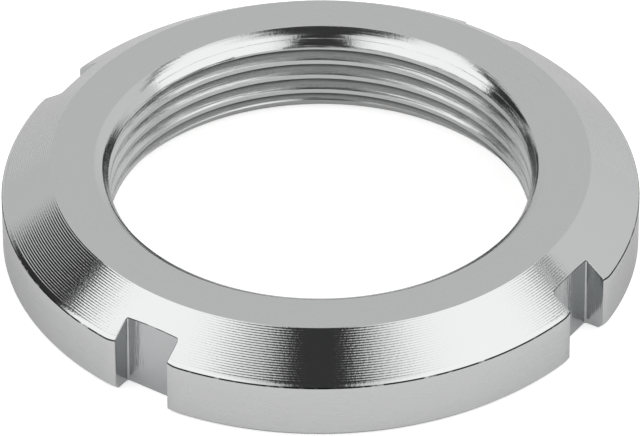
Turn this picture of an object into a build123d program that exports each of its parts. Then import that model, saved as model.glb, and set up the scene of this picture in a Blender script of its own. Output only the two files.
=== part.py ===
from build123d import *
from math import ceil, radians, sqrt, tan
import os

PITCH = 1.5
MAJOR_DIA = 36.0
FLANK_ANGLE = 30.0
SHARP_V_HEIGHT = PITCH * sqrt(3) / 2
MINOR_DIA = MAJOR_DIA - 2 * SHARP_V_HEIGHT * 5 / 8
ROOT_FLAT = PITCH / 8

OUTER_DIA = 52.0
FACE_DIA = 44.0
HEIGHT = 8.0
CHAMFER_DROP = 2.95
SHOULDER_ROUND = 0.6
BOTTOM_BREAK = 0.5

SINK_OVERSIZE = 0.5
SINK_DEPTH = 1.4
SINK_ROUND = 0.4

SLOT_COUNT = 4
SLOT_WIDTH = 5.0
SLOT_DEPTH = 2.0

outer_r = OUTER_DIA / 2
face_r = FACE_DIA / 2
major_r = MAJOR_DIA / 2
minor_r = MINOR_DIA / 2
shoulder_z = HEIGHT - CHAMFER_DROP

# The cutter starts clear of the bore wall and runs one pitch past both faces
cutter_r = minor_r - PITCH / 10
root_half = ROOT_FLAT / 2
mouth_half = root_half + (major_r - cutter_r) * tan(radians(FLANK_ANGLE))
cutter_turns = ceil(HEIGHT / PITCH) + 2

sink_r = (MAJOR_DIA + SINK_OVERSIZE) / 2
sink_inner_r = minor_r - PITCH / 2
sink_inner_depth = SINK_DEPTH * (sink_r - sink_inner_r) / (sink_r - minor_r)

# One turn of the thread groove: a truncated V swept along the helix
with BuildPart() as groove_turn:
    with BuildLine():
        helix = Helix(PITCH, PITCH, major_r)
    with BuildSketch(Plane.XZ):
        with BuildLine():
            Polyline(
                (cutter_r, -mouth_half),
                (major_r, -root_half),
                (major_r, root_half),
                (cutter_r, mouth_half),
                close=True,
            )
        make_face()
    sweep(path=helix, is_frenet=True)

with BuildPart() as lock_nut:
    # Ring section: plain seat below, long chamfer up to the narrower top face
    with BuildSketch(Plane.XZ):
        with BuildLine():
            Polyline(
                (minor_r, 0),
                (outer_r - BOTTOM_BREAK, 0),
                (outer_r, BOTTOM_BREAK),
                (outer_r, shoulder_z),
                (face_r, HEIGHT),
                (minor_r, HEIGHT),
                close=True,
            )
        make_face()
    revolve(axis=Axis.Z)
    widest_circles = lock_nut.edges().filter_by(GeomType.CIRCLE).group_by(SortBy.RADIUS)[-1]
    fillet(widest_circles.sort_by(Axis.Z)[-1], SHOULDER_ROUND)

    # Right-hand internal thread, cut turn by turn
    for turn in range(cutter_turns):
        place = Location((0, 0, (turn - 1) * PITCH))
        add(groove_turn.part.moved(place), mode=Mode.SUBTRACT)

    # Countersinks at both ends of the thread; the upper mouth is rounded over
    with BuildSketch(Plane.XZ):
        for end_z, inward in ((0, 1), (HEIGHT, -1)):
            with BuildLine():
                Polyline(
                    (0, end_z),
                    (sink_r, end_z),
                    (sink_inner_r, end_z + inward * sink_inner_depth),
                    (0, end_z + inward * sink_inner_depth),
                    close=True,
                )
            make_face()
    revolve(axis=Axis.Z, mode=Mode.SUBTRACT)
    top_face = lock_nut.faces().filter_by(GeomType.PLANE).sort_by(Axis.Z)[-1]
    fillet(top_face.edges().sort_by(SortBy.RADIUS)[0], SINK_ROUND)

    # Hook-spanner slots, milled through the rim from face to face
    with BuildSketch(Plane.XY):
        with PolarLocations(outer_r, SLOT_COUNT):
            Rectangle(2 * SLOT_DEPTH, SLOT_WIDTH)
    extrude(amount=HEIGHT, mode=Mode.SUBTRACT)

os.makedirs("parts", exist_ok=True)
lock_nut.part.label = "lock_nut"
export_step(lock_nut.part, "parts/lock_nut.step")
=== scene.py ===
import bpy
import numpy as np
from mathutils import Matrix


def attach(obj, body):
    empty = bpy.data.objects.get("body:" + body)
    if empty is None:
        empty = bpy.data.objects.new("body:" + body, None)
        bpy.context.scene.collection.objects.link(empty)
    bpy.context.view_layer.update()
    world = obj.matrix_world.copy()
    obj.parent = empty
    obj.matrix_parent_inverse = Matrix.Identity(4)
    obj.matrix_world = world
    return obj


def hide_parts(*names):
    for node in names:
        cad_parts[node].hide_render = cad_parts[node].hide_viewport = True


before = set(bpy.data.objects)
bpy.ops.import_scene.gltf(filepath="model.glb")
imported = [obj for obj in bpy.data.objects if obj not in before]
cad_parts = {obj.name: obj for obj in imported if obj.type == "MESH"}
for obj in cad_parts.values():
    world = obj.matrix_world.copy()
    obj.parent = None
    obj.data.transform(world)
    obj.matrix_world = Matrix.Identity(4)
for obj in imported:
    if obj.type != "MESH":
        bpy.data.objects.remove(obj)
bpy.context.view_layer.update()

MM = 0.001

# Sizes of the nut in millimetres, as in the part's source
PITCH = 1.5
MAJOR_R = 18.0
MINOR_R = MAJOR_R - PITCH * np.sqrt(3) / 2 * 5 / 8
OUTER_R = 26.0
FACE_R = 22.0
HEIGHT = 8.0
CHAMFER_DROP = 2.95
BOTTOM_BREAK = 0.5
SINK_R = 18.25
SINK_DEPTH = 1.4
SLOT_COUNT = 4
SLOT_HALF = 2.5
SLOT_FLOOR = 24.0

# The rest of the shape's values are for fine forms that only the dressed part has, in millimetres as well

# Feed grooves of the chamfer: how many, how deep, and the radii between which they fade out. The real feed leaves
# about 30 grooves; 24 are cut, so that each is wide enough to show
FEED_GROOVES = 24
FEED_DEPTH = 0.0130
FEED_FADE = (25.6, 25.76)
# The chamfer's plain band under the grooves: the radii where it starts and ends, and its slopes in degrees
BAND = (25.76, 25.94)
BAND_SLOPES = (41, 45, 48)
# The shoulder's sharp edge below the band, as steps in r and z from the band's end
SHOULDER_EDGE = ((0.03, -0.04), (0.05, -0.08), (OUTER_R - BAND[1], -0.125))
# The tiny break between top face and chamfer, as steps in r and z from their common edge
FACE_EDGE = ((-0.02, -0.006), (0.015, -0.024))
# The lower edge break as it was worn, as r and z
LOWER_EDGE = (
    (OUTER_R - 0.04, BOTTOM_BREAK - 0.07), (OUTER_R - BOTTOM_BREAK + 0.07, 0.04),
    (OUTER_R - BOTTOM_BREAK - 0.02, 0.0),
)

# Slot corners: the round of the outer edges and the fillet at the floor
SLOT_EDGE_ROUND = 0.08
SLOT_FILLET = 0.18
# The rim is worn down by RIM_WEAR at a slot's edge, and not at all RIM_WEAR_REACH away from it. On the chamfer the
# wear starts at the radius RIM_WEAR_START and is full at the band
RIM_WEAR = 0.12
RIM_WEAR_REACH = 1.0
RIM_WEAR_START = 25.0

# The upper countersink as cut: a shallow bevel from SINK_TOP on the face down to SINK_STEP, both as r and z, then a
# steep cone that reaches the minor radius at the height SINK_END
SINK_TOP = (18.42, 8.0)
SINK_STEP = (17.75, 7.62)
SINK_END = 6.73
# Points up the bevel and a little way onto the face: the share of the bevel's length, and a step from there in r
# and z, which rounds the bevel a little
SINK_BEVEL = (
    (0.03, 0.0, 0.0), (0.35, -0.005, 0.009), (0.7, -0.004, 0.008), (0.95, 0.0, 0.0), (1.0, 0.02, -0.001),
    (1.0, 0.06, 0.0),
)
# Heights between which the bore's rows climb. The countersinks' rows beyond them are level, and lie at the heights
# given here
BORE_TOP = 7.3
BORE_BOTTOM = 0.31
UPPER_SINK_ROW = BORE_TOP + 0.06
LOWER_SINK_ROWS = (0.14, 0.28)
# The share of the upper cone, from SINK_STEP down, at which its last row lies, so that the step stays crisp
STEP_GUARD = 0.05
# Height of the thread groove's middle on the X axis, and the heights between which the top end of it runs out
THREAD_START = 0.14
THREAD_RUN_OUT = (6.6, 7.0)

# Fineness of the mesh. Rows: across one feed groove, the top face, the rim and the seat face, two radii on the seat
# face outside the slots' floors, how far the face's last row lies inside its edge, and how far a feed row keeps
# from any other row
ROWS_PER_GROOVE = 6
FACE_ROWS = 6
FACE_MARGIN = 0.06
RIM_ROWS = 4
SEAT_ROWS = 5
SEAT_OUTER_ROWS = (25.0, 24.7)
ROW_DISTANCE = 0.02
# Columns: along the rim between two slots, across a slot's floor and round its edges, distances from a slot where
# the worn rim has columns, and shares of the way up a slot's wall
SECTOR_COLUMNS = 48
SLOT_COLUMNS = 4
ROUND_STEPS = 4
WEAR_COLUMNS = (0, 0.1, 0.22, 0.36, 0.52, 0.74, RIM_WEAR_REACH)
WALL_COLUMNS = (0.06, 0.92)
# A cone counts as cut where it is this much deeper than the thread
CUT_DEPTH = 0.001
# Decimals that are compared when points in the same place are made one
WELD_DECIMALS = 6
# Edges that turn by more than this many degrees stay sharp
SHARP_ANGLE = 27

# Finishes, in the order of the material slots on the piece
FACE, CHAMFER, RIM, SLOT, THREAD, SINK, EDGE = range(7)


def linear(hex_colour):
    """sRGB hex to linear RGBA: each channel is divided by 12.92 below 0.04045, and above it shifted by 0.055,
    divided by 1.055 and raised to 2.4."""
    channels = np.array([int(hex_colour[i:i + 2], 16) for i in (1, 3, 5)]) / 255
    low = channels / 12.92
    high = ((channels + 0.055) / 1.055) ** 2.4
    return (*np.where(channels <= 0.04045, low, high).tolist(), 1.0)


# ---------------------------------------------------------------- shape

# Angle from slot to slot, the chamfer's width and slope, the radius of the slot floor's corners, half the width of
# its flat, and the length of the rim between two slots
QUARTER = 2 * np.pi / SLOT_COUNT
CHAMFER_RUN = OUTER_R - FACE_R
CHAMFER_ANGLE = np.arctan2(CHAMFER_DROP, CHAMFER_RUN)
SLOT_CORNER_R = np.hypot(SLOT_FLOOR + SLOT_FILLET, SLOT_HALF)
SLOT_FLAT_HALF = SLOT_HALF - SLOT_FILLET
RIM_ARC = OUTER_R * (QUARTER - 2 * np.arcsin((SLOT_HALF + SLOT_EDGE_ROUND) / OUTER_R))


def chamfer_height(r):
    """Height of the chamfer at radius r: a straight fall from the top face, less the feed grooves. A groove is a V
    across one feed, FEED_DEPTH deep in its middle, and the grooves fade out between the two radii of FEED_FADE."""
    along = (r - FACE_R) / CHAMFER_RUN * FEED_GROOVES
    across = along - np.floor(along)
    depth = FEED_DEPTH * np.clip((FEED_FADE[1] - r) / (FEED_FADE[1] - FEED_FADE[0]), 0, 1)
    groove = depth * (1 - np.abs(2 * across - 1))
    return HEIGHT - (r - FACE_R) / CHAMFER_RUN * CHAMFER_DROP - groove / np.cos(CHAMFER_ANGLE)


def chamfer_points(r):
    """Points of the chamfer's section at the radii r."""
    return np.column_stack((r, chamfer_height(r)))


def feed_rows():
    """Radii of the rows that follow the feed grooves: evenly spaced from FACE_R to OUTER_R, without both ends."""
    count = FEED_GROOVES * ROWS_PER_GROOVE
    return FACE_R + np.arange(1, count) / count * CHAMFER_RUN


def thread_radius(z, climb):
    """Wall radius of the internal thread at height z, where the grooves' middles lie at climb plus whole pitches: a
    flat root one eighth of a pitch wide, 30 degree flanks, and a flat crest one quarter wide. The last groove loses
    its depth evenly as its middle climbs through THREAD_RUN_OUT."""
    middle = np.round((z - climb) / PITCH) * PITCH + climb
    flank = MAJOR_R - (np.abs(z - middle) - PITCH / 16) / np.tan(np.radians(30))
    share = (THREAD_RUN_OUT[1] - middle) / (THREAD_RUN_OUT[1] - THREAD_RUN_OUT[0])
    return MINOR_R + np.clip(share, 0, 1) * (np.clip(flank, MINOR_R, MAJOR_R) - MINOR_R)


def sink_radius(z):
    """Radius of the countersinks' cones at height z: a straight line from SINK_R at the seat face up to the minor
    radius at SINK_DEPTH, and above the middle a straight line from SINK_STEP down to the minor radius at
    SINK_END."""
    lower = SINK_R - z / SINK_DEPTH * (SINK_R - MINOR_R)
    fall = (SINK_STEP[1] - z) / (SINK_STEP[1] - SINK_END)
    upper = SINK_STEP[0] - fall * (SINK_STEP[0] - MINOR_R)
    return np.where(z < HEIGHT / 2, lower, upper)


def bore_rows(angle):
    """Heights and radii of the bore wall for each column, and where a cone is cut deeper than the thread. Every row
    climbs one pitch a turn, z = z0 + pitch x angle / full turn, and is held between BORE_BOTTOM and BORE_TOP.
    The radius is the largest of the thread and the two cones. Within a pitch the rows lie across the root, one
    flank, the crest and the other flank."""
    steps = np.concatenate((
        np.linspace(-1 / 16, 1 / 16, 3)[:-1],
        np.linspace(1 / 16, 3 / 8, 5)[:-1],
        np.linspace(3 / 8, 5 / 8, 3)[:-1],
        np.linspace(5 / 8, 15 / 16, 5)[:-1],
    )) * PITCH
    # The rows start two pitches below the wall and end above it, so that the climb leaves no part of it bare
    first = int(np.floor(BORE_BOTTOM / PITCH)) - 2
    turns = int(np.ceil(HEIGHT / PITCH)) + 3
    starts = (np.arange(turns)[:, None] * PITCH + first * PITCH + steps[None, :]).ravel()
    climb = THREAD_START + PITCH * angle[:, None] / (2 * np.pi)
    z = np.clip(starts[None, :] + climb, BORE_BOTTOM, BORE_TOP)
    thread = thread_radius(z, climb)
    cone = sink_radius(z)
    return np.maximum(thread, cone), z, cone > thread + CUT_DEPTH


def upper_section():
    """Section from the top of the bore's rows up the countersink's cone and bevel, over the top face and down the
    grooved chamfer to the slot corner, as r, z points with the finish of the strip that starts at each point."""
    step = np.array(SINK_STEP)
    bevel = np.array(SINK_BEVEL)
    lower = np.array((sink_radius(UPPER_SINK_ROW), UPPER_SINK_ROW))
    bevel_points = step + bevel[:, :1] * (np.array(SINK_TOP) - step) + bevel[:, 1:]
    mouth = np.vstack((lower, step + STEP_GUARD * (lower - step), bevel_points))
    face_r = np.linspace(mouth[-1, 0], FACE_R - FACE_MARGIN, FACE_ROWS + 1)[1:]
    face = np.column_stack((face_r, np.full(FACE_ROWS, HEIGHT)))
    edge = np.array((FACE_R, HEIGHT)) + FACE_EDGE
    chamfer_r = feed_rows()
    chamfer = chamfer_points(np.append(chamfer_r[chamfer_r < SLOT_CORNER_R - ROW_DISTANCE], SLOT_CORNER_R))
    points = np.vstack((mouth, face, edge, chamfer))
    finish = [SINK] * (len(mouth) - 1) + [FACE] * (1 + len(face)) + [CHAMFER] * (len(edge) + len(chamfer))
    return points, finish


def outer_section():
    """Section from the slot corner on the chamfer over the plain band and the shoulder's edge, down the rim, round
    the lower edge break and in along the seat face to the slot corner's radius. With it come the shares of the
    rim's wear that each point takes inwards and upwards: on the chamfer both grow from 0 to 1, and down the rim the
    upward share falls to nothing."""
    chamfer_r = feed_rows()
    chamfer_r = chamfer_r[(chamfer_r > SLOT_CORNER_R + ROW_DISTANCE) & (chamfer_r < BAND[0] - ROW_DISTANCE)]
    band_r = np.linspace(*BAND, len(BAND_SLOPES) + 1)
    drop = np.concatenate(([0], np.cumsum(np.diff(band_r) * np.tan(np.radians(BAND_SLOPES)))))
    band = np.column_stack((band_r, chamfer_height(band_r[0]) - drop))
    edge = band[-1] + np.array(SHOULDER_EDGE)
    rim_z = np.linspace(edge[-1, 1], BOTTOM_BREAK, RIM_ROWS + 1)[1:]
    rim = np.column_stack((np.full(RIM_ROWS, OUTER_R), rim_z))
    seat_r = np.append(SEAT_OUTER_ROWS, SLOT_CORNER_R)
    seat = np.column_stack((seat_r, np.zeros(len(seat_r))))
    points = np.vstack((chamfer_points(chamfer_r), band, edge, rim, LOWER_EDGE, seat))
    down_rim = len(rim) + len(LOWER_EDGE)
    finish = (
        [CHAMFER] * (len(chamfer_r) + len(band) - 1) + [EDGE] * len(edge) + [RIM] * down_rim
        + [FACE] * (len(seat) + 1))
    slope = np.clip((chamfer_r - RIM_WEAR_START) / (BAND[0] - RIM_WEAR_START), 0, 1)
    shoulder = np.ones(len(band) + len(edge))
    inwards = np.concatenate((slope, shoulder, np.ones(down_rim), np.zeros(len(seat))))
    upwards = np.concatenate((slope, shoulder, rim_z / edge[-1, 1], np.zeros(len(LOWER_EDGE) + len(seat))))
    return points, finish, inwards, upwards * np.tan(CHAMFER_ANGLE)


def lower_section():
    """Section in along the seat face from the slot corner to the lower countersink and up its cone."""
    seat = np.column_stack((np.linspace(SLOT_CORNER_R, SINK_R, SEAT_ROWS + 1)[1:], np.zeros(SEAT_ROWS)))
    cone_z = np.array(LOWER_SINK_ROWS)
    cone = np.column_stack((sink_radius(cone_z), cone_z))
    points = np.vstack((seat, cone))
    finish = [FACE] * (len(seat) - 1) + [SINK] * (1 + len(cone))
    return points, finish


def inset(points, distance):
    """The open section moved inwards by distance: each point goes against the mean normal of its two strips, and
    the two end points stay."""
    run = np.diff(points, axis=0)
    normal = np.column_stack((-run[:, 1], run[:, 0]))
    normal /= np.linalg.norm(normal, axis=1)[:, None]
    mean = np.zeros_like(points)
    mean[1:-1] = normal[:-1] + normal[1:]
    length = np.linalg.norm(mean, axis=1)
    mean[1:-1] /= length[1:-1, None]
    return points - mean * distance


def ring_columns():
    """The columns round the nut, in arrays with one value for each. turn is the angle of the column's own slot, and
    side its distance from that slot's middle plane. share tells how far a column of the rim lies on the way to the
    next slot, and is -1 at a slot. inset_by is how far the slot's rounded edge moves the section in: its radius
    times one less the sine of the angle round the edge, from 0 at the slot's wall to 90 degrees at the rim.
    is_floor marks the slot's floor. The last column is the first one again."""
    round_angle = np.linspace(0, np.pi / 2, ROUND_STEPS + 1)
    floor_side = np.concatenate((
        -SLOT_FLAT_HALF - SLOT_FILLET * np.sin(round_angle[:0:-1]),
        np.linspace(-SLOT_FLAT_HALF, SLOT_FLAT_HALF, SLOT_COLUMNS + 1),
        SLOT_FLAT_HALF + SLOT_FILLET * np.sin(round_angle[1:]),
    ))
    edge_side = SLOT_HALF + SLOT_EDGE_ROUND * (1 - np.cos(round_angle[:-1]))
    edge_inset = SLOT_EDGE_ROUND * (1 - np.sin(round_angle[:-1]))
    near = np.array(WEAR_COLUMNS) / RIM_ARC
    sector = np.concatenate((
        near[:-1], np.linspace(near[-1], 1 - near[-1], SECTOR_COLUMNS + 1), 1 - near[-2::-1]))

    # One slot's floor, its edge, the sector after it, and the next slot's edge
    floor, edge, rim = len(floor_side), ROUND_STEPS, len(sector)
    side = np.concatenate((floor_side, edge_side, np.full(rim, SLOT_HALF + SLOT_EDGE_ROUND), -edge_side[::-1]))
    share = np.concatenate((np.full(floor + edge, -1.0), sector, np.full(edge, -1.0)))
    inset_by = np.concatenate((np.zeros(floor), edge_inset, np.zeros(rim), edge_inset[::-1]))
    is_floor = np.arange(len(side)) < floor
    ahead = np.arange(len(side)) >= floor + edge + rim

    turn = np.append(((np.arange(SLOT_COUNT)[:, None] + ahead) * QUARTER).ravel(), 2 * np.pi)
    side, share, inset_by, is_floor = (
        np.append(np.tile(values, SLOT_COUNT), values[0]) for values in (side, share, inset_by, is_floor))
    return turn, side, share, inset_by, is_floor


def azimuth(r, turn, side, share):
    """Angle round the axis at radius r. A column follows the slot wall outside FACE_R: its angle is the slot's own
    angle plus the arcsine of its distance from the slot's middle plane over the radius, and a column of the rim
    shares out the angle left between two slots evenly."""
    reach = np.arcsin(side / np.maximum(r, FACE_R))
    return turn + np.where(share < 0, reach, reach + share * (QUARTER - 2 * reach))


def rim_rows(section, share, inset_by, before, after):
    """Radii and heights of the rim's rows in every column. The rim wears away towards a slot by a parabola of the
    distance along it, and the slot's rounded edge is the worn section moved in. before and after are the points
    that the section joins."""
    outer, _, inwards, upwards = section
    from_slot = np.where(share < 0, 0, np.minimum(share, 1 - share) * RIM_ARC)
    wear = RIM_WEAR * np.clip(1 - from_slot / RIM_WEAR_REACH, 0, 1) ** 2
    r = outer[:, 0] - wear[:, None] * inwards
    z = outer[:, 1] + wear[:, None] * upwards
    worn = np.vstack((before, np.column_stack((r[0], z[0])), after))
    towards = (worn - inset(worn, 1.0))[1:-1]
    towards[-1] = 0
    return r - inset_by[:, None] * towards[:, 0], z - inset_by[:, None] * towards[:, 1]


def nut_surface():
    """Vertices and quads of the whole nut, the finish of each quad, and each vertex's place across the lathe marks.
    The surface is a grid: one parameter runs round the axis, column by column, the other runs round the closed
    section, row by row: x = r cos a, y = r sin a, z. Where a slot cuts the rim, the rows of the rim lie on the
    slot's floor instead, and the strips between the two kinds of column are the slot's wall and its rounded
    edge."""
    upper, upper_finish = upper_section()
    outer_parts = outer_section()
    lower, lower_finish = lower_section()
    outer_rows = len(outer_parts[0])
    turn, side, share, inset_by, is_floor = ring_columns()
    bore_r, bore_z, is_cone = bore_rows(azimuth(FACE_R, turn, side, share))

    # Towards a slot every row ends at the corner of its floor, which the fillets round off at both sides
    floor_x = SLOT_FLOOR + SLOT_FILLET - np.sqrt(
        SLOT_FILLET ** 2 - np.clip(np.abs(side) - SLOT_FLAT_HALF, 0, SLOT_FILLET) ** 2)
    corner_r = np.where(is_floor, np.hypot(floor_x, side), SLOT_CORNER_R)[:, None]
    upper_r = np.minimum(upper[:, 0], corner_r)
    upper_z = np.where(upper[:, 0] > corner_r, chamfer_height(upper_r), upper[:, 1])
    lower_r = np.minimum(lower[:, 0], corner_r)
    lower_z = np.broadcast_to(lower[:, 1], lower_r.shape)
    rim_r, rim_z = rim_rows(outer_parts, share, inset_by, upper[-1], lower[:1])
    down_floor = upper_z[:, -1:] * (1 - np.linspace(0, 1, outer_rows + 1)[1:])
    outer_r = np.where(is_floor[:, None], corner_r, rim_r)
    outer_z = np.where(is_floor[:, None], down_floor, rim_z)

    r = np.hstack((bore_r, upper_r, outer_r, lower_r))
    z = np.hstack((bore_z, upper_z, outer_z, lower_z))
    angle = azimuth(r, turn[:, None], side[:, None], share[:, None])
    points = np.stack((r * np.cos(angle), r * np.sin(angle), z), axis=-1)

    # Two more columns on each slot wall, close to its two ends, keep the wall flat between its rounded edges
    rising = np.flatnonzero(is_floor[:-1] & ~is_floor[1:])
    falling = np.flatnonzero(~is_floor[:-1] & is_floor[1:])
    starts = np.concatenate((rising, rising, falling, falling))
    low, high = WALL_COLUMNS
    part = np.repeat((low, high, 1 - high, 1 - low), SLOT_COUNT)[:, None, None]
    order = np.argsort(np.concatenate((np.arange(len(side)), starts + part[:, 0, 0])), kind="stable")
    points = np.concatenate((points, (1 - part) * points[starts] + part * points[starts + 1]))[order]
    is_slot = np.concatenate((is_floor, np.ones(len(starts), bool)))[order]
    is_cone = np.concatenate((is_cone, is_cone[starts]))[order]

    # Faces run between neighbouring columns, with the last row joined to the first
    columns, rows = points.shape[:2]
    grid = np.arange(columns * rows).reshape(columns, rows)
    nxt = np.roll(grid, -1, axis=1)
    quads = np.stack((grid[:-1], grid[1:], nxt[1:], nxt[:-1]), axis=-1)

    # A finish for each row of faces, then the cones where they cut the thread, then the slots
    bore = bore_r.shape[1]
    row_finish = np.array([THREAD] * bore + upper_finish + outer_parts[1] + lower_finish)
    row_finish[bore - 1] = SINK
    finish = np.broadcast_to(row_finish, (columns - 1, rows)).copy()
    cut = is_cone[:-1] & np.roll(is_cone, -1, axis=1)[:-1]
    finish[:, :bore - 1][cut[:, :-1]] = SINK
    slot_row = bore + len(upper) - 1
    finish[is_slot[:-1] | is_slot[1:], slot_row:slot_row + outer_rows + 1] = SLOT
    finish[is_slot[:-1] & is_slot[1:], slot_row] = EDGE

    # Distance across the lathe marks: the length along the section half way between two slots, for every column
    middle = np.argmin(np.abs(share - 0.5))
    section = np.column_stack((r[middle], z[middle]))
    lay = np.concatenate(([0], np.cumsum(np.linalg.norm(np.diff(section, axis=0), axis=1))))
    lay = np.broadcast_to(lay, (columns, rows))
    return points.reshape(-1, 3), quads.reshape(-1, 4), finish.ravel(), lay.ravel()


def welded(points, quads, finish, lay):
    """One vertex for each place: rounded coordinates are made unique, quads that lost a side become triangles, and
    those that lost two are dropped."""
    _, keep, number = np.unique(np.round(points, WELD_DECIMALS), axis=0, return_index=True, return_inverse=True)
    quads = number.reshape(-1)[quads]
    same_as_next = quads == np.roll(quads, -1, axis=1)
    lost = same_as_next.sum(axis=1)
    opposite = (quads[:, 0] == quads[:, 2]) | (quads[:, 1] == quads[:, 3])
    whole = (lost == 0) & ~opposite
    cut = (lost == 1) & ~opposite
    triangles = quads[cut][~same_as_next[cut]].reshape(-1, 3)
    return points[keep], quads[whole], triangles, finish[whole], finish[cut], lay[keep]


def mesh_object(name, points, quads, triangles, quad_finish, triangle_finish, lay, materials):
    """A mesh object in metres from arrays in millimetres. Faces are turned outwards if the enclosed volume, the sum
    of each face's corner triple products over six, comes out negative."""
    fan = np.vstack((triangles, quads[:, [0, 1, 2]], quads[:, [0, 2, 3]]))
    corner = points[fan]
    volume = np.einsum("ij,ij->i", corner[:, 0], np.cross(corner[:, 1], corner[:, 2])).sum() / 6
    if volume < 0:
        quads = quads[:, ::-1]
        triangles = triangles[:, ::-1]
    mesh = bpy.data.meshes.new(name)
    loops = np.concatenate((quads.ravel(), triangles.ravel()))
    sizes = np.concatenate((np.full(len(quads), 4), np.full(len(triangles), 3)))
    mesh.vertices.add(len(points))
    mesh.vertices.foreach_set("co", (points * MM).ravel())
    mesh.loops.add(len(loops))
    mesh.loops.foreach_set("vertex_index", loops)
    mesh.polygons.add(len(sizes))
    mesh.polygons.foreach_set("loop_start", np.concatenate(([0], np.cumsum(sizes)[:-1])))
    mesh.polygons.foreach_set("material_index", np.concatenate((quad_finish, triangle_finish)))
    mesh.update(calc_edges=True)
    mesh.polygons.foreach_set("use_smooth", np.ones(len(sizes), bool))
    for material in materials:
        mesh.materials.append(material)
    mesh.set_sharp_from_angle(angle=np.radians(SHARP_ANGLE))
    mesh.attributes.new("lay", "FLOAT", "POINT").data.foreach_set("value", lay)
    mesh.validate()
    piece = bpy.data.objects.new(name, mesh)
    bpy.context.scene.collection.objects.link(piece)
    return piece


# ---------------------------------------------------------------- finishes

# Bright zinc plate on turned steel: a pale, barely bluish grey metal that shows its surroundings a little softly
ZINC = "#BDBEBE"
# The plating is thinner and a little bluer in the milled slots
MILLED_ZINC = "#B3B5B6"
# Painted shade: the base colour darkens deep in the thread's roots, where little light comes back
ROOT_PAINTED_SHADE = "#868788"
# Dirt in the nicks of a knocked edge, together with painted shade that darkens the edge into a broken line
GRIME_AND_SHADE = "#2E2F2F"
# The plate's sheen at a grazing angle stays a little below a clean mirror's
GRAZING = "#DEDEDE"


def add(tree, kind, settings=None, inputs=None):
    """Adds one node: settings are its properties, inputs are numbers, colours or the sockets that feed it."""
    node = tree.nodes.new(kind)
    for name, value in (settings or {}).items():
        setattr(node, name, value)
    for name, value in (inputs or {}).items():
        if isinstance(value, bpy.types.NodeSocket):
            tree.links.new(value, node.inputs[name])
        else:
            node.inputs[name].default_value = value
    return node


def bare_material(name):
    """A new material, and its node tree with nothing in it."""
    material = bpy.data.materials.new(name)
    material.use_nodes = True
    material.node_tree.nodes.clear()
    return material, material.node_tree


def turned_steel(name, roughness, spread, around, across, ring_depth, grain, grain_depth, root_shade_between=None):
    """Zinc-plated steel with lathe rings. The rings' place is the unit direction from the axis times around, with
    the length along the section times across (cycles a millimetre), so they close on themselves round the nut.
    spread varies the roughness from ring to ring. grain is the number of uneven spots a millimetre. ring_depth and
    grain_depth say how deep both are, in millimetres. The last argument gives two radii in millimetres between which
    plain zinc is darkened to a painted shade for the thread's roots, where little light comes back."""
    material, tree = bare_material(name)
    place_at = add(tree, "ShaderNodeTexCoord").outputs["Object"]
    flat = add(tree, "ShaderNodeVectorMath", {"operation": "MULTIPLY"}, {0: place_at, 1: (1.0, 1.0, 0.0)})
    unit = add(tree, "ShaderNodeVectorMath", {"operation": "NORMALIZE"}, {0: flat.outputs["Vector"]})
    spin = add(tree, "ShaderNodeVectorMath", {"operation": "SCALE"}, {
        0: unit.outputs["Vector"], "Scale": around})
    lay = add(tree, "ShaderNodeAttribute", {"attribute_name": "lay"})
    fine = add(tree, "ShaderNodeMath", {"operation": "MULTIPLY"}, {0: lay.outputs["Fac"], 1: across})
    lift = add(tree, "ShaderNodeCombineXYZ", inputs={"Z": fine.outputs["Value"]})
    ring_place = add(tree, "ShaderNodeVectorMath", {"operation": "ADD"}, {
        0: spin.outputs["Vector"], 1: lift.outputs["Vector"]})
    rings = add(tree, "ShaderNodeTexNoise", inputs={
        "Vector": ring_place.outputs["Vector"], "Scale": 1.0, "Detail": 2.0, "Roughness": 0.6})
    patches = add(tree, "ShaderNodeTexNoise", inputs={
        "Vector": place_at, "Scale": grain / MM, "Detail": 4.0, "Roughness": 0.6})
    ring_bump = add(tree, "ShaderNodeBump", inputs={
        "Height": rings.outputs["Fac"], "Strength": 1.0, "Distance": ring_depth * MM})
    patch_bump = add(tree, "ShaderNodeBump", inputs={
        "Height": patches.outputs["Fac"], "Strength": 1.0, "Distance": grain_depth * MM,
        "Normal": ring_bump.outputs["Normal"]})
    rough = add(tree, "ShaderNodeMapRange", inputs={
        "Value": rings.outputs["Fac"], "From Min": 0.3, "From Max": 0.7,
        "To Min": roughness - spread, "To Max": roughness + spread})
    steel = add(tree, "ShaderNodeBsdfPrincipled", inputs={
        "Base Color": linear(ZINC), "Metallic": 1.0, "Specular Tint": linear(GRAZING),
        "Roughness": rough.outputs["Result"], "Normal": patch_bump.outputs["Normal"]})
    # Painted shade: the base colour darkens between the two radii, towards the thread's roots
    if root_shade_between:
        radius = add(tree, "ShaderNodeVectorMath", {"operation": "LENGTH"}, {0: flat.outputs["Vector"]})
        depth = add(tree, "ShaderNodeMapRange", inputs={
            "Value": radius.outputs["Value"], "From Min": root_shade_between[0] * MM, "From Max": root_shade_between[1] * MM})
        tone = add(tree, "ShaderNodeMix", {"data_type": "RGBA"}, {
            "Factor": depth.outputs["Result"], "A": linear(ZINC), "B": linear(ROOT_PAINTED_SHADE)})
        tree.links.new(tone.outputs["Result"], steel.inputs["Base Color"])
    add(tree, "ShaderNodeOutputMaterial", inputs={"Surface": steel.outputs["BSDF"]})
    return material


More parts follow.
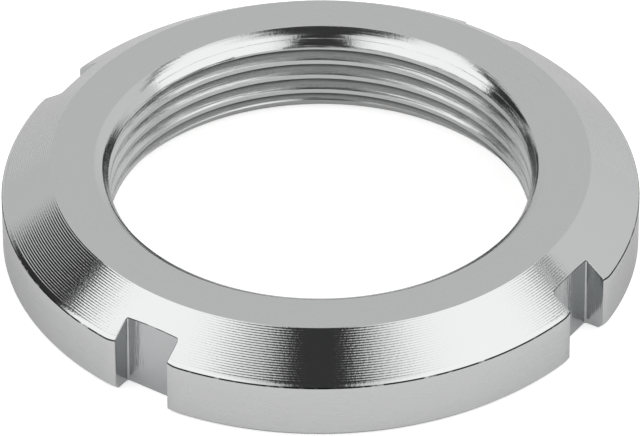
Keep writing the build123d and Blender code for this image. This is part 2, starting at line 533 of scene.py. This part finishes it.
def nicked_shaded_steel(name):
    """Zinc-plated steel of an edge that has knocked about: pits 0.4 mm apart scatter the light, and patches about a
    millimetre long are darkened, partly as grime and partly as painted shade, so the edge shows as a broken dark
    line."""
    material, tree = bare_material(name)
    place_at = add(tree, "ShaderNodeTexCoord").outputs["Object"]
    pits = add(tree, "ShaderNodeTexNoise", inputs={
        "Vector": place_at, "Scale": 2.5 / MM, "Detail": 3.0, "Roughness": 0.7})
    bump = add(tree, "ShaderNodeBump", inputs={
        "Height": pits.outputs["Fac"], "Strength": 1.0, "Distance": 0.05 * MM})
    # Grime and painted shade: patches of the edge turn dark
    grime_and_shade = add(tree, "ShaderNodeTexNoise", inputs={
        "Vector": place_at, "Scale": 0.9 / MM, "Detail": 4.0, "Roughness": 0.65})
    tone = add(tree, "ShaderNodeValToRGB", inputs={"Fac": grime_and_shade.outputs["Fac"]})
    for stop, position, colour in zip(tone.color_ramp.elements, (0.54, 0.70), (GRIME_AND_SHADE, ZINC)):
        stop.position = position
        stop.color = linear(colour)
    steel = add(tree, "ShaderNodeBsdfPrincipled", inputs={
        "Base Color": tone.outputs["Color"], "Metallic": 1.0, "Specular Tint": linear(GRAZING), "Roughness": 0.2,
        "Normal": bump.outputs["Normal"]})
    add(tree, "ShaderNodeOutputMaterial", inputs={"Surface": steel.outputs["BSDF"]})
    return material


def milled_steel(name):
    """Zinc-plated steel from a milling cutter: streaks 0.4 mm wide and 4 mm long run up the slot, which gives its
    dull mirror a drawn look. Real cutter marks are finer, and would not show."""
    material, tree = bare_material(name)
    place_at = add(tree, "ShaderNodeTexCoord").outputs["Object"]
    stretched = add(tree, "ShaderNodeMapping", inputs={
        "Vector": place_at, "Scale": (2.5 / MM, 2.5 / MM, 0.25 / MM)})
    streaks = add(tree, "ShaderNodeTexNoise", inputs={
        "Vector": stretched.outputs["Vector"], "Scale": 1.0, "Detail": 3.0, "Roughness": 0.6})
    bump = add(tree, "ShaderNodeBump", inputs={
        "Height": streaks.outputs["Fac"], "Strength": 1.0, "Distance": 0.025 * MM})
    rough = add(tree, "ShaderNodeMapRange", inputs={
        "Value": streaks.outputs["Fac"], "From Min": 0.3, "From Max": 0.7, "To Min": 0.12, "To Max": 0.2})
    steel = add(tree, "ShaderNodeBsdfPrincipled", inputs={
        "Base Color": linear(MILLED_ZINC), "Metallic": 1.0, "Specular Tint": linear(GRAZING),
        "Roughness": rough.outputs["Result"], "Normal": bump.outputs["Normal"]})
    add(tree, "ShaderNodeOutputMaterial", inputs={"Surface": steel.outputs["BSDF"]})
    return material


# One finish for each material slot. The rings, as many to a millimetre as across says, are drawn coarser than the
# real tool marks, which lie 0.1 mm apart or closer and would not show
finishes = [
    # Faced on the lathe: an even satin grey with rings that are only just seen
    turned_steel(
        "faced_zinc_steel", roughness=0.30, spread=0.04, around=5.0, across=5.0, ring_depth=0.0025,
        grain=0.35, grain_depth=0.012),
    # Cut with a sharp tool at a coarse feed: a near mirror, which the grooves break into bright and dark lines
    turned_steel(
        "feed_turned_zinc_steel", roughness=0.07, spread=0.02, around=30.0, across=6.0, ring_depth=0.0015,
        grain=4.0, grain_depth=0.007),
    # Turned on the outside: satin like the face, with broad soft unevenness in the plate
    turned_steel(
        "rim_turned_zinc_steel", roughness=0.30, spread=0.04, around=8.0, across=7.0, ring_depth=0.003,
        grain=0.35, grain_depth=0.03),
    # The slots' walls and floors: a drawn, dull mirror
    milled_steel("milled_zinc_steel"),
    # Cut by a tap: torn, streaky flanks, with painted shade darkening the colour towards the roots
    turned_steel(
        "tapped_zinc_steel", roughness=0.18, spread=0.08, around=3.0, across=8.0, ring_depth=0.024,
        grain=2.0, grain_depth=0.008, root_shade_between=(17.75, 18.0)),
    # Countersunk: bright, with a few deep rings that pull reflections into streaks
    turned_steel(
        "countersunk_zinc_steel", roughness=0.11, spread=0.04, around=4.0, across=4.5, ring_depth=0.014,
        grain=4.0, grain_depth=0.006),
    # The shoulder's edge: a thin broken dark line of grime and painted shade
    nicked_shaded_steel("nicked_shaded_zinc_steel"),
]

nut = mesh_object("lock_nut_turned", *welded(*nut_surface()), finishes)
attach(nut, "root")
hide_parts("lock_nut")

# ---------------------------------------------------------------- studio

# The photograph's view of the nut: angles in radians, lengths in metres. VIEW_TURN is the angle round the nut from
# the picture's right to its own X axis, and VIEW_ASIDE is how far the nut's origin lies right of and above the
# middle of the picture
VIEW_ELEVATION = np.radians(37.6)
VIEW_ROLL = np.radians(-0.18)
VIEW_TURN = np.radians(146.1)
VIEW_DISTANCE = 26.72 * OUTER_R * MM
VIEW_ASIDE = (0.0021 * OUTER_R * MM, -0.0616 * OUTER_R * MM)
FOCAL_PIXELS = 8484.7
PHOTO_WIDTH = 640
# Sensor width in millimetres, and how far the camera sees in metres
SENSOR = 36.0
VIEW_REACH = 20

# The floor: half its width in metres, its gap to the seat in millimetres, and how much glow is added to it where
# the camera sees it and where the metal mirrors it
FLOOR_HALF = 2.0
FLOOR_GAP = 0.01
FLOOR_GLOW = 0.55
FLOOR_GLOW_MIRRORED = 0.21

# Brightness of the light tent: its wall on the left and on the right, the panels, and the three dark parts
WALL_LEFT = 0.88
WALL_RIGHT = 1.0
PANELS = 1.7
OPENING = 0.05
POLE = 0.1
GAP = 0.06


def photo_camera():
    """Camera at the photograph's viewing angle: its back axis rises by VIEW_ELEVATION, its right axis lies VIEW_TURN
    clockwise of the nut's X axis and is level but for VIEW_ROLL, and its place is the nut's origin less the
    offsets along its axes."""
    sin_e, cos_e = np.sin(VIEW_ELEVATION), np.cos(VIEW_ELEVATION)
    sin_r, cos_r = np.sin(VIEW_ROLL), np.cos(VIEW_ROLL)
    sin_t, cos_t = np.sin(VIEW_TURN), np.cos(VIEW_TURN)
    tilt = np.array([(1, 0, 0), (0, sin_e, cos_e), (0, -cos_e, sin_e)])
    roll = np.array([(cos_r, sin_r, 0), (-sin_r, cos_r, 0), (0, 0, 1)])
    turn = np.array([(cos_t, -sin_t, 0), (sin_t, cos_t, 0), (0, 0, 1)])
    axes = roll @ tilt @ turn
    camera = bpy.data.objects.new("photo_camera", bpy.data.cameras.new("photo_camera"))
    camera.data.sensor_width = SENSOR
    camera.data.lens = SENSOR * FOCAL_PIXELS / PHOTO_WIDTH
    camera.data.clip_end = VIEW_REACH
    placed = np.eye(4)
    placed[:3, :3] = axes.T
    placed[:3, 3] = -axes.T @ np.array([VIEW_ASIDE[0], VIEW_ASIDE[1], -VIEW_DISTANCE])
    camera.matrix_world = Matrix(placed.tolist())
    bpy.context.scene.collection.objects.link(camera)
    bpy.context.scene.camera = camera


def floor_sheet():
    """Plain pale floor under the nut's seat, with FLOOR_GAP between them so that they never share a plane. What the
    camera sees of it is lifted to white by a little emission, and the lit part of it keeps the nut's shadow."""
    flat_corners = np.array([(-1, -1, 0), (1, -1, 0), (1, 1, 0), (-1, 1, 0)]) * FLOOR_HALF
    mesh = bpy.data.meshes.new("floor")
    mesh.from_pydata((flat_corners - (0, 0, FLOOR_GAP * MM)).tolist(), [], [(0, 1, 2, 3)])
    material, tree = bare_material("pale_paper")
    path = add(tree, "ShaderNodeLightPath")
    mirrored = add(tree, "ShaderNodeMath", {"operation": "MULTIPLY"}, {
        0: path.outputs["Is Glossy Ray"], 1: FLOOR_GLOW_MIRRORED})
    lift = add(tree, "ShaderNodeMath", {"operation": "MULTIPLY_ADD"}, {
        0: path.outputs["Is Camera Ray"], 1: FLOOR_GLOW, 2: mirrored.outputs["Value"]})
    paper = add(tree, "ShaderNodeBsdfDiffuse", inputs={"Color": linear("#EBEBEA")})
    glow = add(tree, "ShaderNodeEmission", inputs={
        "Color": linear("#FFFFFF"), "Strength": lift.outputs["Value"]})
    both = add(tree, "ShaderNodeAddShader", inputs={0: paper.outputs["BSDF"], 1: glow.outputs["Emission"]})
    add(tree, "ShaderNodeOutputMaterial", inputs={"Surface": both.outputs["Shader"]})
    mesh.materials.append(material)
    floor = bpy.data.objects.new("floor", mesh)
    bpy.context.scene.collection.objects.link(floor)


def tent_world():
    """White light tent. Its brightness depends on direction only, given by how far it points to the right, back and
    up in the photograph: a plain wall, two brighter soft panels on the left and right, a dark opening behind the
    left one, a thin dark pole along the right one's back edge, and a dark gap between them from overhead down
    towards the camera. The metal mirrors these as the white flanks and dark bands of the photograph. The background
    that the camera sees directly is plain white."""
    world = bpy.data.worlds.new("light_tent")
    bpy.context.scene.world = world
    world.use_nodes = True
    tree = world.node_tree
    tree.nodes.clear()
    direction = add(tree, "ShaderNodeTexCoord").outputs["Generated"]
    turned = add(tree, "ShaderNodeVectorRotate", {"rotation_type": "Z_AXIS"}, {
        "Vector": direction, "Angle": VIEW_TURN})
    split = add(tree, "ShaderNodeSeparateXYZ", inputs={"Vector": turned.outputs["Vector"]})
    sockets = {"right": split.outputs["X"], "back": split.outputs["Y"], "up": split.outputs["Z"]}

    # Each row has its name, what it does, and what it works on: numbers, or earlier rows by their names. STEP goes
    # smoothly from 0 where the first is the second to 1 where it is the third, BLEND from the second to the third
    # as the first goes from 0 to 1, and the rest is arithmetic
    kinds = {
        "STEP": ("ShaderNodeMapRange", {"interpolation_type": "SMOOTHSTEP"}, ("Value", "From Min", "From Max")),
        "BLEND": ("ShaderNodeMix", {"data_type": "FLOAT"}, ("Factor", "A", "B")),
    }
    rows = (
        # How far a direction points aside, and how far back once the panels' lean is taken out
        ("off_middle", "ADD", "right", 0.01),
        ("aside", "ABSOLUTE", "off_middle"),
        ("lean", "MULTIPLY_ADD", "aside", 0.06, "back"),
        ("behind", "MULTIPLY_ADD", "up", -0.337, "lean"),

        # The panels: in front of a back edge that is softer on the right, below the roof, above the floor, aside
        ("full_panel", "MULTIPLY_ADD", "right", -0.052, -0.0525),
        ("in_front", "STEP", "behind", 0.05, "full_panel"),
        ("below_roof", "STEP", "up", 0.985, 0.95),
        ("above_floor", "STEP", "up", 0.0, 0.08),
        ("between", "MULTIPLY", "below_roof", "above_floor"),
        ("panels_whole", "MULTIPLY", "in_front", "between"),
        ("off_centre", "STEP", "aside", 0.12, 0.45),
        ("panels", "MULTIPLY", "panels_whole", "off_centre"),
        ("to_right", "STEP", "right", 0.2, 0.6),
        ("wall", "BLEND", "to_right", WALL_LEFT, WALL_RIGHT),
        ("lit", "BLEND", "panels", "wall", PANELS),

        # The dark opening: under a slanting edge, short of the back wall, above the floor, left, behind the panel
        ("slant", "MULTIPLY_ADD", "behind", -0.971, 0.862),
        ("over_slant", "SUBTRACT", "up", "slant"),
        ("under_slant", "STEP", "over_slant", 0.02, -0.02),
        ("short_of_back", "STEP", "behind", 0.64, 0.48),
        ("opening_top", "MULTIPLY", "under_slant", "short_of_back"),
        ("over_floor", "STEP", "up", -0.05, 0.03),
        ("to_left", "STEP", "right", 0.0, -0.2),
        ("opening_side", "MULTIPLY", "over_floor", "to_left"),
        ("opening_whole", "MULTIPLY", "opening_top", "opening_side"),
        ("not_in_front", "SUBTRACT", 1.0, "in_front"),
        ("opening", "MULTIPLY", "opening_whole", "not_in_front"),
        ("lit_opening", "BLEND", "opening", "lit", OPENING),

        # The thin dark pole: between two close edges, on the right, well above the floor
        ("pole_front", "STEP", "behind", 0.045, 0.06),
        ("pole_back", "STEP", "behind", 0.105, 0.09),
        ("pole_width", "MULTIPLY", "pole_front", "pole_back"),
        ("pole_right", "STEP", "right", 0.2, 0.4),
        ("pole_foot", "STEP", "up", 0.3, 0.4),
        ("pole_length", "MULTIPLY", "pole_right", "pole_foot"),
        ("pole", "MULTIPLY", "pole_width", "pole_length"),
        ("lit_pole", "BLEND", "pole", "lit_opening", POLE),

        # The dark gap: narrower with height, wider again near the top, closed by a dark patch overhead
        ("narrowing", "MULTIPLY_ADD", "up", -0.264, 0.331),
        ("widening", "MULTIPLY_ADD", "up", 0.35, -0.16),
        ("half_gap", "MAXIMUM", "narrowing", "widening"),
        ("past_gap", "SUBTRACT", "aside", "half_gap"),
        ("in_gap", "STEP", "past_gap", 0.05, -0.02),
        ("overhead", "MULTIPLY_ADD", "right", -0.04, "up"),
        ("roof", "STEP", "overhead", 0.95, 0.985),
        ("gap_whole", "MAXIMUM", "in_gap", "roof"),
        ("gap_side", "STEP", "back", 0.25, 0.15),
        ("gap", "MULTIPLY", "gap_whole", "gap_side"),
        ("tent", "BLEND", "gap", "lit_pole", GAP),
    )
    for name, work, *values in rows:
        kind, settings, inputs = kinds.get(work, ("ShaderNodeMath", {"operation": work}, (0, 1, 2)))
        given = [sockets.get(value, value) for value in values]
        sockets[name] = add(tree, kind, settings, dict(zip(inputs, given))).outputs[0]
    path = add(tree, "ShaderNodeLightPath")
    level = add(tree, "ShaderNodeMix", {"data_type": "FLOAT"}, {
        "Factor": path.outputs["Is Camera Ray"], "A": sockets["tent"], "B": 1.0})
    sky = add(tree, "ShaderNodeBackground", inputs={
        "Color": linear("#FFFFFF"), "Strength": level.outputs["Result"]})
    add(tree, "ShaderNodeOutputWorld", inputs={"Surface": sky.outputs["Background"]})


photo_camera()
floor_sheet()
tent_world()
bpy.context.scene.view_settings.view_transform = "Standard"
